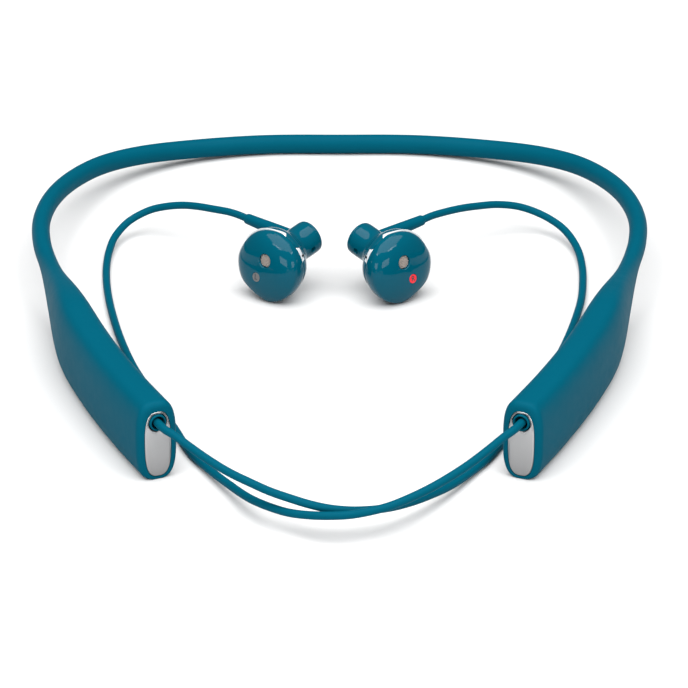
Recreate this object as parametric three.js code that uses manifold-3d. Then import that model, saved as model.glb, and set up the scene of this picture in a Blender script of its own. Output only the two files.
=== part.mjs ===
// Neckband earphones: a springy neckband with a control module at each end, and two wired earbuds.
// Millimetres, +Z up. The wearer faces -Y, so the wearer's right is at -X. The origin is the middle of
// the footprint, on the surface that the modules rest on. Each half is designed at -X and mirrored.
import * as THREE from 'three';
import { mergeVertices } from 'three/addons/utils/BufferGeometryUtils.js';
import Module from 'manifold-3d';

// ---------------------------------------------------------------- driving dimensions
const GAP = 0.3; // between pieces that touch
const TUBE_HEIGHT = 5.1; // neckband tube, oval
const TUBE_WIDTH = 4.5;
const TUBE_LEVEL = 10; // height of its centre line at the modules
const BORE_HEIGHT = 3.9;
const BORE_WIDTH = 2.9;
const CORE_RADIUS = 0.65; // spring wire, lies above the signal harness
const HARNESS_RADIUS = 0.6;
const INNER_LINE_OFFSET = 0.85; // of both from the tube's centre line

// Centre line of one half, from the middle of the back, which lies on the ground, up to the module's
// level and along the module to its front end.
const HALF_LINE = [
  [0, 96.45, 2.65], [-20.4, 96, 2.7], [-38.6, 90.6, 3.6], [-52.6, 81.85, 5.35], [-62.05, 71.45, 6.95],
  [-69.05, 57.45, 8.5], [-73.35, 42.1, 9.7], [-75, 27.4, TUBE_LEVEL], [-74, 12.9, TUBE_LEVEL],
  [-70.9, -3.1, TUBE_LEVEL], [-67.2, -20.6, TUBE_LEVEL], [-62.2, -42.1, TUBE_LEVEL],
  [-56.1, -61.1, TUBE_LEVEL], [-48.8, -79.6, TUBE_LEVEL], [-40.8, -97.25, TUBE_LEVEL],
];

// Places along that line, measured from the middle of the back.
const FLEX_START = 58;
const FLEX_END = 74;
const CASING_START = 140.5;
const CAVITY_START = 158.5; // the casing's inside widens from here
const CAVITY_RUN = 12;
const TAPER_HEIGHT_RUN = 48; // over which the casing grows to full height
const TAPER_THICKNESS_RUN = 56;
const COVER_START = 172.5;
const CORE_END = 162.5;

const MODULE_HEIGHT = 19;
const MODULE_THICKNESS = 9.8;
const MODULE_SINK = 0.25; // the round underside is cut flat by this much, where it rests
const MODULE_SQUARENESS = 3.1; // superellipse exponent of its section
const CASING_WALL = 1.2;
const FRONT_ROUNDING = 1.5;
const FRONT_WALL = 2.6;
const COVER_MARGIN = 2.9; // casing left above and below the inner cover
const PLATE_THICKNESS = 1;
const PLATE_HALF_WIDTH = 3.2;
const PLATE_BOTTOM = 0.75;
const PLATE_TOP = 16.8;
const GLAND_LEVEL = 14.2;
const GLAND_RADIUS = 2.2; // hole through the plate
const GLAND_BORE = 1.5;

const BUD_RADIUS = 9.05;
const BUD_FLAT = 7.85; // distance of the rim's flat from the face's centre
const BUD_FLAT_ANGLE = 243;
const BUD_WALL = 0.9;
const BARREL_RADIUS = 4.25;
const BARREL_END = 15.5;
const BARREL_TILT = 20; // degrees, barrel against the face's axis
const BARREL_SWING = 4.4;
const RING_DISTANCE = 4.4; // of the trim ring from the rim's centre, along the barrel
const BOOT_DISTANCE = 12.5; // of the cable boot along the barrel
const BOOT_LENGTH = 20.6; // from the barrel's axis to the boot's thin end
const BOOT_SWEEP = 7.3;
const BUD_YAW = 39.8; // the face looks forward, outward and a little up
const BUD_PITCH = 7.6;

const CABLE_RADIUS = 0.95;
const CABLE_SIDES = 8;

// Cable routes, chosen by hand: from the module's gland, across the front in a shallow arch above the
// ground, past the other module and up to the earbud. The right-hand cable starts at the module at -X.
const RIGHT_CABLE = [
  [-40.6, -97.85, 14.2], [-39.2, -100.5, 14.1], [-36.8, -102.9, 13.7], [-33.3, -106.2, 12.5],
  [-28.9, -110.3, 11.2], [-24.4, -113.9, 10], [-19.8, -117, 9.1], [-15.2, -120.1, 8.4],
  [-10.7, -122.3, 7.8], [-6.4, -124.2, 7.3], [-2.1, -125.2, 6.8], [2.3, -124.9, 6.2], [6.7, -123.5, 5.6],
  [11.1, -120.9, 4.9], [15.6, -116.9, 4.1], [20.1, -111.6, 3.2], [24.7, -105.1, 2.2], [29.5, -96.8, 1.4],
  [34.5, -87.2, 1], [39.6, -73.6, 0.95], [44.9, -58.1, 0.95], [50.2, -42.1, 0.95], [54.6, -26.1, 0.95],
  [57.6, -12.6, 0.95], [59.6, -1.1, 0.95], [60.6, 9.9, 0.95], [60.9, 18.9, 1], [60.3, 27.9, 1.6],
  [58.4, 35.1, 2.6], [55.9, 39.5, 3.6], [51.3, 43.3, 5], [46.2, 44.1, 6.6], [40.6, 42.1, 8.1],
  [35, 38, 9.4], [30.8, 34.2, 10.4], [26.6, 30.2, 11.1], [23.2, 26.8, 11.5], [20.97, 24.45, 11.48],
];
const LEFT_CABLE = [
  [40.6, -97.85, 14.2], [39.2, -100.5, 14.1], [36.8, -103.1, 13.5], [33.4, -107.3, 12.6],
  [28.8, -112.1, 11.2], [24.1, -116.4, 10], [19.6, -120.2, 9.1], [15.2, -123.4, 8.4], [11, -125.9, 7.8],
  [6.7, -127.4, 7.3], [2.3, -128.1, 6.8], [-2.1, -127.6, 6.3], [-6.4, -126, 5.6], [-10.9, -123.5, 4.9],
  [-15.3, -119.2, 4.1], [-19.9, -113.2, 3.2], [-24.5, -105, 2.3], [-29.3, -95.7, 1.5], [-34, -85.8, 1],
  [-38, -73.6, 0.95], [-43.4, -57.1, 0.95], [-49, -40.1, 0.95], [-52.9, -24.1, 0.95],
  [-55.5, -10.1, 0.95], [-57.1, 0.9, 0.95], [-58.1, 10.9, 0.95], [-58.5, 19.9, 1], [-58.2, 27.9, 1.5],
  [-56.9, 35.2, 2.5], [-53.5, 40.9, 4.2], [-48.5, 42.9, 6.2], [-44.2, 41.8, 7.7], [-40, 39.5, 9],
  [-35.9, 35.9, 10.2], [-31.7, 32.5, 10.9], [-27.8, 29.5, 11.4], [-25.1, 27.1, 11.5],
  [-23.45, 25.36, 11.48],
];

// ---------------------------------------------------------------- materials
const paint = (color, roughness, metalness = 0) =>
  new THREE.MeshStandardMaterial({ color, roughness, metalness });
const softTeal = paint(0x00647d, 0.55);
const glossTeal = paint(0x005f78, 0.12);
const silver = paint(0xc4c4c4, 0.3, 0.9);
const chrome = paint(0xe6e8ea, 0.08, 1);
const steel = paint(0x9a9da0, 0.35, 1);
const meshGrey = paint(0xa89e97, 0.5, 0.6);
const markGrey = paint(0x9a9896, 0.4);
const markRed = paint(0xd01525, 0.4);
const blackRubber = paint(0x15181a, 0.8);
const boardGreen = paint(0x0d4a2c, 0.5);
const batteryFoil = paint(0xb8bcc0, 0.3, 0.8);
const film = paint(0xd9c9a0, 0.4);
const copper = paint(0xb06a35, 0.4, 0.9);
const lightPipe = paint(0xdfe8ea, 0.2);

// ---------------------------------------------------------------- solids
const wasm = await Module();
wasm.setup();
const { lerp, degToRad: radians } = THREE.MathUtils;
const UP = new THREE.Vector3(0, 0, 1);

function toSolid(geometry) {
  const bare = geometry.clone();
  bare.deleteAttribute('normal');
  bare.deleteAttribute('uv');
  const merged = mergeVertices(bare, 1e-4);
  return new wasm.Manifold(new wasm.Mesh({
    numProp: 3,
    vertProperties: new Float32Array(merged.attributes.position.array),
    triVerts: new Uint32Array(merged.index.array),
  }));
}

function toGeometry(solid) {
  const mesh = solid.getMesh();
  const geometry = new THREE.BufferGeometry();
  geometry.setAttribute('position', new THREE.BufferAttribute(new Float32Array(mesh.vertProperties), 3));
  geometry.setIndex(new THREE.BufferAttribute(new Uint32Array(mesh.triVerts), 1));
  return geometry;
}

function cut(geometry, ...tools) {
  return toGeometry(tools.reduce((solid, tool) => solid.subtract(toSolid(tool)), toSolid(geometry)));
}

function join(geometry, ...others) {
  return toGeometry(others.reduce((solid, other) => solid.add(toSolid(other)), toSolid(geometry)));
}

function common(geometry, other) {
  return toGeometry(toSolid(geometry).intersect(toSolid(other)));
}

// The same skin with its faces pointing the other way.
function turnedOut(geometry) {
  const index = geometry.index.array;
  for (let i = 0; i < index.length; i += 3) {
    [index[i + 1], index[i + 2]] = [index[i + 2], index[i + 1]];
  }
  return geometry;
}

// A closed skin through rings of equally many points. Its ends are flat, or it closes on itself.
function loft(rings, closesOnItself = false) {
  const count = rings[0].length;
  const positions = rings.flat().flatMap((p) => [p.x, p.y, p.z]);
  const faces = [];
  const bands = closesOnItself ? rings.length : rings.length - 1;
  for (let i = 0; i < bands; i += 1) {
    const next = (i + 1) % rings.length;
    for (let j = 0; j < count; j += 1) {
      const k = (j + 1) % count;
      const [a, b, c, d] = [i * count + j, i * count + k, next * count + k, next * count + j];
      faces.push(a, b, c, a, c, d);
    }
  }
  if (!closesOnItself) {
    for (const [ring, flip] of [[0, true], [rings.length - 1, false]]) {
      const middle = rings[ring].reduce((sum, p) => sum.add(p), new THREE.Vector3()).divideScalar(count);
      const hub = positions.length / 3;
      positions.push(middle.x, middle.y, middle.z);
      for (let j = 0; j < count; j += 1) {
        const a = ring * count + j;
        const b = ring * count + ((j + 1) % count);
        faces.push(hub, flip ? b : a, flip ? a : b);
      }
    }
  }
  const geometry = new THREE.BufferGeometry();
  geometry.setAttribute('position', new THREE.Float32BufferAttribute(positions, 3));
  geometry.setIndex(faces);
  return toSolid(geometry).volume() > 0 ? geometry : turnedOut(geometry);
}

function mirrored(geometry) {
  const copy = geometry.clone().applyMatrix4(new THREE.Matrix4().makeScale(-1, 1, 1));
  if (!copy.index) {
    copy.setIndex([...Array(copy.attributes.position.count).keys()]);
  }
  return turnedOut(copy);
}

function ellipse(halfX, halfY, sides, offsetX = 0) {
  const points = [];
  for (let i = 0; i < sides; i += 1) {
    const angle = (2 * Math.PI * i) / sides;
    points.push(new THREE.Vector2(offsetX + halfX * Math.cos(angle), halfY * Math.sin(angle)));
  }
  return points;
}

function roundedRectangle(length, height, radius) {
  const [x, y] = [length / 2 - radius, height / 2 - radius];
  const shape = new THREE.Shape();
  shape.absarc(x, y, radius, 0, Math.PI / 2);
  shape.absarc(-x, y, radius, Math.PI / 2, Math.PI);
  shape.absarc(-x, -y, radius, Math.PI, 1.5 * Math.PI);
  shape.absarc(x, -y, radius, 1.5 * Math.PI, 2 * Math.PI);
  return shape;
}

// A flat shape, its length along the module, raised towards the inner side from one depth to another.
function slab(shape, from, to, curveSegments = 5) {
  const depth = to - from;
  const geometry = new THREE.ExtrudeGeometry(shape, { depth, bevelEnabled: false, curveSegments });
  const [y, z, x] = [new THREE.Vector3(0, 1, 0), UP, new THREE.Vector3(1, 0, 0)];
  return geometry.applyMatrix4(new THREE.Matrix4().makeBasis(y, z, x)).translate(from, 0, 0);
}

// A round piece along an axis, from [distance, radius] pairs.
function turned(profile, sides, axis = UP, origin = new THREE.Vector3()) {
  const points = profile.map(([distance, radius]) => new THREE.Vector2(radius, distance));
  const geometry = new THREE.LatheGeometry(points, sides);
  const turn = new THREE.Quaternion().setFromUnitVectors(new THREE.Vector3(0, 1, 0), axis);
  return geometry.applyQuaternion(turn).translate(origin.x, origin.y, origin.z);
}

function rod(radius, from, to, sides, axis, origin) {
  return turned([[from, 0], [from, radius], [to, radius], [to, 0]], sides, axis, origin);
}

// ---------------------------------------------------------------- the centre line
const wholeLine = new THREE.CatmullRomCurve3(
  [...HALF_LINE.slice(1).reverse().map(([x, y, z]) => [-x, y, z]), ...HALF_LINE]
    .map((point) => new THREE.Vector3(...point)),
  false,
  'centripetal',
);
wholeLine.arcLengthDivisions = 1200;
const WHOLE_LENGTH = wholeLine.getLength();
const LINE_END = WHOLE_LENGTH / 2;

class Stretch extends THREE.Curve {
  constructor(from, to, lift = 0) {
    super();
    Object.assign(this, { from, to, lift });
  }

  getPoint(t) {
    const distance = lerp(this.from, this.to, t);
    const point = wholeLine.getPointAt(0.5 + distance / WHOLE_LENGTH);
    return point.setZ(point.z + this.lift);
  }
}

// Where the line is at a distance from the back, with its directions forward and to the inner side.
function station(distance) {
  const u = 0.5 + distance / WHOLE_LENGTH;
  const position = wholeLine.getPointAt(u);
  const forward = wholeLine.getTangentAt(u);
  return { position, forward, inward: UP.clone().cross(forward).normalize() };
}

// The neckband's tube, hollow, over a stretch of the line.
function sleeve(from, to, steps) {
  const shape = new THREE.Shape(ellipse(TUBE_HEIGHT / 2, TUBE_WIDTH / 2, 10));
  shape.holes.push(new THREE.Path(ellipse(BORE_HEIGHT / 2, BORE_WIDTH / 2, 8)));
  const extrudePath = new Stretch(from, to);
  return new THREE.ExtrudeGeometry(shape, { extrudePath, steps, bevelEnabled: false });
}

// A round strand inside the tube, as far along both halves as its reach.
function innerLine(radius, lift, reach) {
  const shape = new THREE.Shape(ellipse(radius, radius, 6));
  const extrudePath = new Stretch(-reach, reach, lift);
  return new THREE.ExtrudeGeometry(shape, { extrudePath, steps: 38, bevelEnabled: false });
}

// ---------------------------------------------------------------- the module's shell
function smooth(value) {
  const t = THREE.MathUtils.clamp(value, 0, 1);
  return t * t * (3 - 2 * t);
}

function casingSection(distance) {
  const rise = smooth((distance - CASING_START) / TAPER_HEIGHT_RUN);
  const swell = smooth((distance - CASING_START) / TAPER_THICKNESS_RUN);
  const halfHeight = lerp(TUBE_HEIGHT / 2, (MODULE_HEIGHT + MODULE_SINK) / 2, rise);
  return {
    halfHeight,
    halfThickness: lerp(TUBE_WIDTH / 2, MODULE_THICKNESS / 2, swell),
    level: lerp(TUBE_LEVEL, (MODULE_HEIGHT - MODULE_SINK) / 2, rise),
    squareness: lerp(2, MODULE_SQUARENESS, rise),
  };
}

function sectionRing(distance, section, sides) {
  const { position, inward } = station(Math.min(distance, LINE_END));
  const { halfHeight, halfThickness, level, squareness } = section;
  const ring = [];
  for (let i = 0; i < sides; i += 1) {
    const angle = (2 * Math.PI * (i + 0.5)) / sides;
    const [c, s] = [Math.cos(angle), Math.sin(angle)];
    const across = halfThickness * Math.sign(c) * Math.abs(c) ** (2 / squareness);
    const height = level + halfHeight * Math.sign(s) * Math.abs(s) ** (2 / squareness);
    ring.push(position.clone().addScaledVector(inward, across).setZ(height));
  }
  return ring;
}

function distances(from, to, count) {
  return Array.from({ length: count + 1 }, (_, i) => lerp(from, to, i / count));
}

// The outer form: grows out of the tube and ends in a rounded edge round a flat front.
function casingBody() {
  const sides = 18;
  const rings = distances(CASING_START, LINE_END - FRONT_ROUNDING, 10)
    .map((distance) => sectionRing(distance, casingSection(distance), sides));
  for (const angle of [30, 60, 90].map(radians)) {
    const inset = FRONT_ROUNDING * (1 - Math.cos(angle));
    const section = casingSection(LINE_END);
    section.halfThickness -= inset;
    section.halfHeight -= inset * (2 / 3);
    section.level -= inset / 3;
    rings.push(sectionRing(LINE_END - FRONT_ROUNDING * (1 - Math.sin(angle)), section, sides));
  }
  const floorCut = new THREE.BoxGeometry(400, 400, 20).translate(0, 0, -10);
  return cut(loft(rings), floorCut);
}

// The same form drawn in by a wall's thickness. Behind CAVITY_START only the tube's bore goes on.
function casingInside(wall, from, to, count) {
  const rings = distances(from, to, count).map((distance) => {
    const section = casingSection(distance);
    const opened = smooth((distance - CAVITY_START) / CAVITY_RUN);
    section.halfThickness = lerp(BORE_WIDTH / 2, section.halfThickness - wall, opened);
    section.halfHeight = lerp(BORE_HEIGHT / 2, section.halfHeight - wall, opened);
    return sectionRing(distance, section, 12);
  });
  return loft(rings);
}

// A block through the inner wall, with the cover's outline seen from the side, grown by a margin.
function coverBlock(grow) {
  const end = LINE_END - 5.2;
  const middle = (COVER_START + end) / 2;
  const half = (end - COVER_START) / 2 + grow;
  const rings = [-1, -0.94, -0.75, 0, 0.75, 0.94, 1].map((t) => {
    const distance = middle + t * half;
    const { halfHeight, level } = casingSection(distance);
    const height = Math.max((halfHeight - COVER_MARGIN + grow) * (1 - Math.abs(t) ** 6) ** 0.4, 0.9 + grow);
    const { position, inward } = station(distance);
    return [[0.8, -1], [9, -1], [9, 1], [0.8, 1]].map(([across, side]) =>
      position.clone().addScaledVector(inward, across).setZ(level + side * height));
  });
  return loft(rings);
}

// ---------------------------------------------------------------- building the object
const earphones = new THREE.Group();

function add(parent, name, geometry, material) {
  const mesh = new THREE.Mesh(geometry, material);
  mesh.name = name;
  parent.add(mesh);
}

// A group that stands on the module's line: -Y forward, +X to the inner side, Z from the floor.
function stand(distance, isLeft) {
  const { position, forward } = station(distance);
  const group = new THREE.Group();
  const yaw = Math.atan2(forward.x, -forward.y);
  group.position.set(isLeft ? -position.x : position.x, position.y, 0);
  group.rotation.z = isLeft ? -yaw : yaw;
  group.updateMatrix();
  earphones.add(group);
  return group;
}

// Adds a piece designed for the right-hand side to a side's own group.
function addSided(group, isLeft, name, geometry, material) {
  add(group, name, isLeft ? mirrored(geometry) : geometry, material);
}

function neckband() {
  add(earphones, 'band_back_sleeve', sleeve(-FLEX_START + GAP, FLEX_START - GAP, 16), softTeal);
  for (const [side, isLeft] of [['right', false], ['left', true]]) {
    const flex = sleeve(FLEX_START, FLEX_END, 4);
    const arm = sleeve(FLEX_END + GAP, CASING_START - GAP, 10);
    addSided(earphones, isLeft, `${side}_flex_sleeve`, flex, softTeal);
    addSided(earphones, isLeft, `${side}_arm_sleeve`, arm, softTeal);
  }
  add(earphones, 'spring_core', innerLine(CORE_RADIUS, INNER_LINE_OFFSET, CORE_END), steel);
  add(earphones, 'signal_harness', innerLine(HARNESS_RADIUS, -INNER_LINE_OFFSET, CORE_END), blackRubber);
}

const PLATE_SECTION = {
  halfThickness: PLATE_HALF_WIDTH,
  halfHeight: (PLATE_TOP - PLATE_BOTTOM) / 2,
  level: (PLATE_TOP + PLATE_BOTTOM) / 2,
  squareness: 2.9,
};

// Pushes a ring's points along the module's line at its front end.
function shifted(ring, by) {
  const { forward } = station(LINE_END);
  return ring.map((point) => point.clone().addScaledVector(forward, by));
}

function plateForm(grow, from, to, sides) {
  const section = { ...PLATE_SECTION };
  section.halfThickness += grow;
  section.halfHeight += grow;
  const ring = sectionRing(LINE_END, section, sides);
  return loft([shifted(ring, from), shifted(ring, to)]);
}

// Keys, lenses and sockets that show on the inner cover, and the switches behind them.
const KEY_TRAVEL_ROOM = 0.7;
const KEY_PROUD = 0.6;
const KEY_SKIN = 1.6; // thickness of a key's cap
const SWITCH_HEIGHT = 1.3;
const SWITCH_FOOT = 1.1; // depth of the board's upper face
const BOARD_THICKNESS = 0.8;
const VOLUME_SWITCH_SPREAD = 7;
const USB_DEPTH = 4.6;
const STACK_DISTANCE = 204.5;
const STACK_LEVEL = 9.4;
const VENT_DISTANCE = 12;

function coverHole({ distance, level, length, height }) {
  const shape = roundedRectangle(length + 2 * GAP, height + 2 * GAP, height / 2 + GAP - 0.01);
  const { position, forward } = station(distance);
  const turn = new THREE.Matrix4().makeRotationZ(Math.atan2(forward.x, -forward.y));
  return slab(shape, 1.5, 9, 4).translate(0, 0, level)
    .applyMatrix4(turn.setPosition(position.x, position.y, 0));
}

// A key's cap, with a stem behind it over each of its switches.
function keyCap({ distance, level, length, height, stems = [0] }) {
  const face = casingSection(distance).halfThickness + KEY_PROUD;
  const cap = slab(roundedRectangle(length, height, height / 2 - 0.01), face - KEY_SKIN, face, 4);
  const stemEnd = SWITCH_FOOT + SWITCH_HEIGHT + KEY_TRAVEL_ROOM;
  const stem = slab(roundedRectangle(2, 1.6, 0.3), stemEnd, face - 1, 1);
  return join(cap, ...stems.map((along) => stem.clone().translate(0, along, 0))).translate(0, 0, level);
}

// A switch under a key, some way along from its middle.
function tactSwitch(isLeft, name, { distance, level }, along = 0) {
  const body = slab(roundedRectangle(3.4, 3, 0.3), SWITCH_FOOT + 0.02, SWITCH_FOOT + 0.9, 1);
  const plunger = slab(roundedRectangle(1.6, 1.2, 0.4), SWITCH_FOOT + 0.5, SWITCH_FOOT + SWITCH_HEIGHT, 1);
  const geometry = join(body, plunger).translate(0, along, level);
  addSided(stand(distance, isLeft), isLeft, name, geometry, steel);
}

function moduleShell(side, isLeft, holes) {
  const body = casingBody();
  const outward = station(LINE_END).forward.clone();
  const glandCentre = station(LINE_END).position.setZ(GLAND_LEVEL);
  const glandHole = rod(GLAND_RADIUS + GAP, -8, 4, 16, outward, glandCentre);
  const cavity = casingInside(CASING_WALL, CASING_START - 1, LINE_END - FRONT_WALL, 10);
  const plateRecess = plateForm(0.12, -PLATE_THICKNESS - GAP, 4, 20);
  const casing = cut(body, cavity, coverBlock(GAP), plateRecess, glandHole);
  addSided(earphones, isLeft, `${side}_casing`, casing, softTeal);

  const underLid = casingInside(CASING_WALL, COVER_START - 6, LINE_END - FRONT_WALL, 7);
  const lid = common(cut(body, underLid), coverBlock(0));
  addSided(earphones, isLeft, `${side}_inner_cover`, cut(lid, ...holes), softTeal);

  const seat = cut(
    casingInside(CASING_WALL + GAP, COVER_START - 4, LINE_END - FRONT_WALL - GAP, 4),
    casingInside(CASING_WALL + GAP + 0.7, COVER_START - 8, LINE_END, 4),
  );
  const gasket = cut(common(seat, coverBlock(1)), coverBlock(-1.1));
  addSided(earphones, isLeft, `${side}_cover_gasket`, gasket, blackRubber);

  const plateHole = rod(GLAND_RADIUS, -8, 4, 16, outward, glandCentre);
  const plate = cut(plateForm(-0.18, -PLATE_THICKNESS, 0.12, 20), plateHole);
  addSided(earphones, isLeft, `${side}_end_plate`, plate, silver);

  const [bore, rim] = [GLAND_BORE, GLAND_RADIUS - GAP];
  const grommetProfile = [[-2.9, bore], [-2.9, rim], [0.25, rim], [0.45, rim - 0.25], [0.25, bore + 0.15],
    [-0.4, bore], [-2.9, bore]];
  const grommet = turned(grommetProfile, 16, outward, glandCentre);
  addSided(earphones, isLeft, `${side}_cable_grommet`, grommet, softTeal);
}

function keys(isLeft, pieces) {
  for (const piece of pieces) {
    addSided(stand(piece.distance, isLeft), isLeft, piece.name, keyCap(piece), softTeal);
  }
}

// A circuit board standing along the module, with its chips.
function board(isLeft, name, distance, length, height, chips) {
  const foot = SWITCH_FOOT - BOARD_THICKNESS - GAP;
  const plate = slab(roundedRectangle(length, height, 1), foot, foot + BOARD_THICKNESS, 2);
  const parts = chips.map(([along, level, long, tall, thick]) =>
    slab(roundedRectangle(long, tall, 0.2), foot - thick, foot + 0.1, 1).translate(0, along, level));
  const centred = join(plate, ...parts).translate(0, 0, STACK_LEVEL);
  addSided(stand(distance, isLeft), isLeft, name, centred, boardGreen);
}

const POWER_KEY = { name: 'power_key', distance: 186.5, level: 9.6, length: 7, height: 4 };
const CALL_KEY = { name: 'call_key', distance: 210.5, level: 9.4, length: 13, height: 5 };
const PLAY_KEY = { name: 'play_key', distance: 186.5, level: 9.6, length: 9, height: 4.6 };
const VOLUME_ROCKER = {
  name: 'volume_rocker',
  distance: 208.5,
  level: 9.4,
  length: 20,
  height: 5,
  stems: [-VOLUME_SWITCH_SPREAD, VOLUME_SWITCH_SPREAD],
};
const STATUS_LIGHT = { distance: 197.5, level: 9.4, length: 1.7, height: 1.7 };
const MICROPHONE = { distance: 226.5, level: 13.1, length: 1.5, height: 1.5 };
const USB_SOCKET = { distance: 228, level: 7.2, length: 7.6, height: 2.9 };

function rightModule() {
  moduleShell('right', false, [POWER_KEY, CALL_KEY, STATUS_LIGHT].map(coverHole));
  keys(false, [POWER_KEY, CALL_KEY]);
  tactSwitch(false, 'power_switch', POWER_KEY);
  tactSwitch(false, 'call_switch', CALL_KEY);
  board(false, 'key_board', STACK_DISTANCE, 42, 10, []);
  const light = station(STATUS_LIGHT.distance);
  const lensFace = casingSection(STATUS_LIGHT.distance).halfThickness + 0.1;
  const lensFoot = light.position.clone().setZ(STATUS_LIGHT.level);
  const lens = rod(STATUS_LIGHT.height / 2, SWITCH_FOOT + GAP, lensFace, 10, light.inward, lensFoot);
  add(earphones, 'status_light_pipe', lens, lightPipe);
  const cell = slab(roundedRectangle(30, 11.5, 1.2), -2.1, -0.35, 3).translate(0, 0, STACK_LEVEL);
  add(stand(STACK_DISTANCE, false), 'battery_cell', cell, batteryFoil);
}

function leftModule() {
  const shown = [PLAY_KEY, VOLUME_ROCKER, MICROPHONE, USB_SOCKET];
  moduleShell('left', true, shown.map(coverHole));
  keys(true, [PLAY_KEY, VOLUME_ROCKER]);
  tactSwitch(true, 'play_switch', PLAY_KEY);
  const chips = [[12, 0.6, 7, 7, 1.2], [-2, -0.8, 6, 6, 1], [-13, 1, 4, 3, 0.8]];
  board(true, 'main_board', 202.5, 39, 11, chips);
  tactSwitch(true, 'volume_up_switch', VOLUME_ROCKER, -VOLUME_SWITCH_SPREAD);
  tactSwitch(true, 'volume_down_switch', VOLUME_ROCKER, VOLUME_SWITCH_SPREAD);
  const { distance, level, length, height } = USB_SOCKET;
  const socketFace = casingSection(distance).halfThickness;
  const foot = socketFace - USB_DEPTH;
  const shell = slab(roundedRectangle(length, height, 0.9), foot, socketFace - 0.1, 3);
  const mouth = slab(roundedRectangle(length - 0.7, height - 0.7, 0.6), foot + 0.5, socketFace, 3);
  const tongue = slab(roundedRectangle(length - 3, 0.5, 0.2), foot + 0.2, socketFace - 0.8, 2);
  const socket = join(cut(shell, mouth), tongue).translate(0, 0, level);
  addSided(stand(distance, true), true, 'usb_socket', socket, steel);
  const microphone = join(
    slab(roundedRectangle(3, 2.4, 0.3), 1.6, 2.9, 2),
    rod(0.5, 2.8, 3.8, 8, new THREE.Vector3(1, 0, 0)),
  ).translate(0, 0, MICROPHONE.level);
  addSided(stand(MICROPHONE.distance, true), true, 'microphone', microphone, blackRubber);
}

// ---------------------------------------------------------------- the earbuds
// In an earbud's own frame the face looks along +Z, and the barrel goes back and up from it. The cable
// boot leaves the barrel towards -X. The origin is the centre of the face's rim.
const barrelAxis = new THREE.Vector3(
  Math.sin(radians(BARREL_SWING)),
  Math.cos(radians(BARREL_SWING)) * Math.sin(radians(BARREL_TILT)),
  -Math.cos(radians(BARREL_SWING)) * Math.cos(radians(BARREL_TILT)),
);
const bootAxis = new THREE.Vector3(-Math.cos(radians(BOOT_SWEEP)), 0, -Math.sin(radians(BOOT_SWEEP)));
const bootOrigin = barrelAxis.clone().multiplyScalar(BOOT_DISTANCE);

// A round section of the head. It turns from the face's plane to the plane across the barrel.
function headRing(turned01, radius, sides) {
  const bend = new THREE.QuadraticBezierCurve3(
    new THREE.Vector3(),
    new THREE.Vector3(0, 0, -RING_DISTANCE / 2),
    barrelAxis.clone().multiplyScalar(RING_DISTANCE),
  );
  const full = new THREE.Quaternion().setFromUnitVectors(UP, barrelAxis.clone().negate());
  const turn = new THREE.Quaternion().slerp(full, turned01);
  return ellipse(radius, radius, sides)
    .map(({ x, y }) => new THREE.Vector3(x, y, 0).applyQuaternion(turn).add(bend.getPoint(turned01)));
}

function faceRing(height, radius, sides) {
  return ellipse(radius, radius, sides).map(({ x, y }) => new THREE.Vector3(x, y, height));
}

function barrelRing(distance, radius, sides) {
  const full = new THREE.Quaternion().setFromUnitVectors(UP, barrelAxis.clone().negate());
  const centre = barrelAxis.clone().multiplyScalar(distance);
  return ellipse(radius, radius, sides)
    .map(({ x, y }) => new THREE.Vector3(x, y, 0).applyQuaternion(full).add(centre));
}

// The flat on the rim, as a block to cut away outside it.
function rimFlat(inset = 0) {
  const size = 30;
  return new THREE.BoxGeometry(size, size, size)
    .translate(BUD_FLAT - inset + size / 2, 0, 0)
    .rotateZ(radians(BUD_FLAT_ANGLE));
}

const SOUND_PORT = { x: 1.3, y: 2.05, radius: 1.75 };
const SIDE_MARK = { x: -1, y: -2.8, radius: 1.15 };
const FACE_PROFILE = [[2.95, 1.7], [2.85, 3.4], [2.5, 5.4], [1.85, 7.1], [1, 8.3], [0, BUD_RADIUS]];
const SIDE_PROFILE = [[0.3, 9.1], [0.6, 8.9], [1, 8.3]];

// The head's outer form, or with an inset the hollow in it, which goes on out of the open back.
function budForm(inset, sides) {
  const isHollow = inset > 0;
  const face = FACE_PROFILE.filter((_, i) => !isHollow || i % 2 === 0).map(([height, radius]) =>
    faceRing(height - inset, radius * (1 - inset / BUD_RADIUS), sides));
  const side = SIDE_PROFILE.map(([turned01, radius]) => headRing(turned01, radius - inset, sides));
  const wayOut = isHollow ? [barrelRing(RING_DISTANCE + 1, SIDE_PROFILE.at(-1)[1] - inset, sides)] : [];
  return cut(loft([...face, ...side, ...wayOut].reverse()), rimFlat(inset));
}

function openShell(outer, inner) {
  return loft([...outer, ...inner.reverse()], true);
}

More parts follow.
